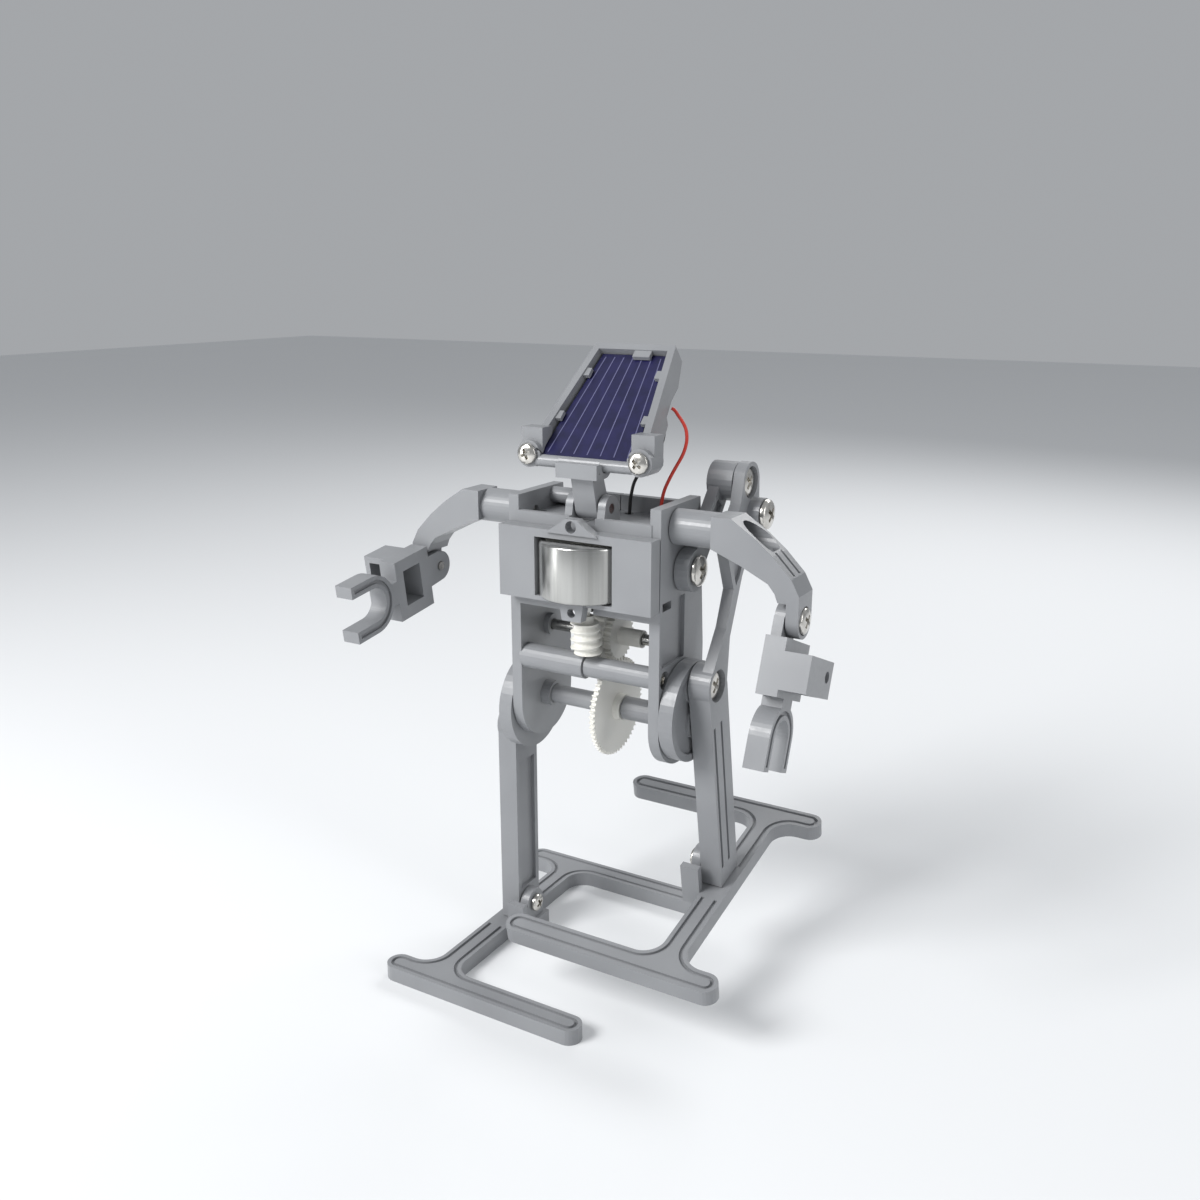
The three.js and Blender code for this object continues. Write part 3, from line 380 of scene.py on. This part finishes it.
def add_screws():
    for name, cad in nodes.items():
        if not name.endswith("_screw"):
            continue
        side, kind = name.split("_")[0], name.split("_")[-2]
        height, shank_radius, facing = SCREW_KINDS[kind]
        low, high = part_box(name)
        middle = (low + high) / 2
        if facing == "front":
            direction = Vector((0, -1, 0))
            radius = (high.x - low.x) / 2
        else:
            sign = -1 if side == "left" else 1
            sign = -sign if facing == "inward" else sign
            direction = Vector((sign, 0, 0))
            radius = (high.y - low.y) / 2
        long_axis = 1 if facing == "front" else 0
        tip = low[long_axis] if direction[long_axis] < 0 else high[long_axis]
        total = high[long_axis] - low[long_axis]
        under_head = middle.copy()
        under_head[long_axis] = tip - direction[long_axis] * height * MM
        mesh = screw_head(radius, height * MM, shank_radius * MM, total - height * MM)
        turn = Matrix.Rotation(SCREW_TURN[side], 4, "Z")
        stand = direction.to_track_quat("Z", "Y").to_matrix().to_4x4()
        mesh.transform(Matrix.Translation(under_head) @ stand @ turn)
        piece = add_object(f"{name}_detail", mesh, NICKEL, cad["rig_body"])
        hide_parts(name)


# ---------------------------------------------------------------- motor can
CAN_SIDES = 128
CAN_BOTTOM = 111.2 * MM          # underside of the can, above its bearing nose
NOSE_RADIUS = 3.0 * MM
BORE_RADIUS = 1.3 * MM
BORE_DEPTH = 4 * MM              # how far the shaft hole goes up into the can
CAN_EDGE = 0.7 * MM
CAN_EDGE_STEPS = 5


def add_motor_can():
    """A smooth drawn can with rounded rims and its bearing nose below."""
    low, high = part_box("motor_can")
    radius = (high.x - low.x) / 2
    centre = Vector(((low.x + high.x) / 2, (low.y + high.y) / 2, 0))
    profile = [
        (0, CAN_BOTTOM + BORE_DEPTH),
        (BORE_RADIUS, CAN_BOTTOM + BORE_DEPTH),
        (BORE_RADIUS, low.z),
        (NOSE_RADIUS, low.z),
        (NOSE_RADIUS, CAN_BOTTOM),
    ]
    for step in range(CAN_EDGE_STEPS + 1):
        angle = (step / CAN_EDGE_STEPS) * math.pi / 2
        out = radius - CAN_EDGE * (1 - math.sin(angle))
        profile.append((out, CAN_BOTTOM + CAN_EDGE * (1 - math.cos(angle))))
    for step in range(CAN_EDGE_STEPS + 1):
        angle = (step / CAN_EDGE_STEPS) * math.pi / 2
        out = radius - CAN_EDGE * (1 - math.cos(angle))
        profile.append((out, high.z - CAN_EDGE * (1 - math.sin(angle))))
    profile.append((0, high.z))
    mesh = lathe(profile, CAN_SIDES)
    mesh.transform(Matrix.Translation(centre))
    smooth(mesh)
    piece = add_object("motor_can_detail", mesh, STEEL, "torso")
    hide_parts("motor_can")


# ---------------------------------------------------------------- collector lines
def panel_place(across, along, front):
    """A point on the tilted panel: mm across, mm up from the hinge, mm in front of it."""
    y = PANEL_HINGE[0] + along * math.cos(PANEL_TILT) - front * math.sin(PANEL_TILT)
    z = PANEL_HINGE[1] + along * math.sin(PANEL_TILT) + front * math.cos(PANEL_TILT)
    return shifted((across, y, z))


def add_collector_lines():
    """Thin printed lines along the cell, a hair above its face."""
    mesh = bpy.data.meshes.new("collector_lines")
    verts, faces = [], []
    for i in range(LINE_COUNT):
        share = (i + 0.5) / LINE_COUNT * 2 - 1
        first = len(verts)
        ends = ((CELL_START + LINE_INSET, CELL_BOTTOM_HALF), (CELL_END - LINE_INSET, CELL_TOP_HALF))
        for along, half in ends:
            for side in (-1, 1):
                for front in (CELL_FACE - LINE_RISE, CELL_FACE + LINE_RISE):
                    across = share * half + side * LINE_WIDTH / 2
                    verts.append(panel_place(across, along, front))
        for quad in ((0, 4, 6, 2), (1, 3, 7, 5), (0, 1, 5, 4), (2, 6, 7, 3), (0, 2, 3, 1), (4, 5, 7, 6)):
            faces.append([first + k for k in quad])
    mesh.from_pydata(verts, [], faces)
    mesh.update()
    add_object("collector_lines", mesh, LINE, "head")


# ---------------------------------------------------------------- wires
def spline_points(points, per_span):
    """Points along a smooth curve through the given ones."""
    padded = [points[0] * 2 - points[1]] + points + [points[-1] * 2 - points[-2]]
    found = []
    for i in range(1, len(padded) - 2):
        a, b, c, d = padded[i - 1:i + 3]
        for step in range(per_span):
            t = step / per_span
            found.append(0.5 * (2 * b + (c - a) * t + (2 * a - 5 * b + 4 * c - d) * t ** 2
                                + (3 * b - a - 3 * c + d) * t ** 3))
    found.append(points[-1].copy())
    return found


def tube(path, radius, sides):
    """A closed round tube along the path."""
    mesh = bpy.data.meshes.new("tube")
    verts, faces = [], []
    across = Vector((0, 1, 0))
    for i, point in enumerate(path):
        along = (path[min(i + 1, len(path) - 1)] - path[max(i - 1, 0)]).normalized()
        across = (across - along * across.dot(along)).normalized()
        other = along.cross(across)
        for k in range(sides):
            angle = 2 * math.pi * k / sides
            verts.append(point + across * radius * math.cos(angle) + other * radius * math.sin(angle))
    for i in range(len(path) - 1):
        for k in range(sides):
            following = (k + 1) % sides
            low, high = i * sides, (i + 1) * sides
            faces.append((low + k, low + following, high + following, high + k))
    faces.append(tuple(reversed(range(sides))))
    faces.append(tuple(range((len(path) - 1) * sides, len(path) * sides)))
    mesh.from_pydata(verts, [], faces)
    mesh.update()
    smooth(mesh)
    return mesh


def add_wire(name, route, material):
    path = spline_points([shifted(point) for point in route], STEPS_PER_SPAN)
    mesh = tube(path, WIRE_DIAMETER * MM / 2, WIRE_SIDES)
    wire = add_object(f"{name}_soft", mesh, material, None)
    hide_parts(name)
    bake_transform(wire)


# ---------------------------------------------------------------- floor and light
FLOOR_HALF = 2.5


def add_floor():
    mesh = bpy.data.meshes.new("floor")
    corners = [(x * FLOOR_HALF, y * FLOOR_HALF, 0) for x, y in ((-1, -1), (1, -1), (1, 1), (-1, 1))]
    mesh.from_pydata(corners, [], [(0, 1, 2, 3)])
    floor = bpy.data.objects.new("floor", mesh)
    bpy.context.scene.collection.objects.link(floor)
    mesh.materials.append(new_material("floor_pale", (0.80, 0.81, 0.82), 0.9)[0])


def add_area_light(name, place, target, size, power):
    light = bpy.data.lights.new(name, "AREA")
    light.shape = "RECTANGLE"
    light.size, light.size_y = size
    light.energy = power
    lamp = bpy.data.objects.new(name, light)
    bpy.context.scene.collection.objects.link(lamp)
    lamp.location = place
    lamp.rotation_euler = (Vector(target) - Vector(place)).to_track_quat("-Z", "Y").to_euler()


def add_lights():
    chest = (0, 0, 0.11)
    add_area_light("key", (-0.35, -0.62, 0.62), chest, (0.35, 0.35), 7)
    add_area_light("side", (0.75, -0.15, 0.4), chest, (0.2, 0.6), 1.2)
    add_area_light("strip", (-0.5, -0.45, 0.15), chest, (0.08, 0.5), 0.8)
    add_area_light("back", (0.1, 0.7, 0.6), chest, (0.8, 0.3), 3.2)
    world = bpy.data.worlds.new("studio")
    world.use_nodes = True
    background = world.node_tree.nodes["Background"]
    background.inputs["Color"].default_value = (0.93, 0.96, 1.0, 1)
    background.inputs["Strength"].default_value = 0.4
    bpy.context.scene.world = world
    bpy.context.scene.view_settings.view_transform = "Standard"


make_camera()
add_wire("red_wire", RED_ROUTE, RED)
add_wire("black_wire", BLACK_ROUTE, BLACK)
dress_cad_nodes()
add_screws()
add_motor_can()
add_collector_lines()
add_floor()
add_lights()

bpy.context.view_layer.update()
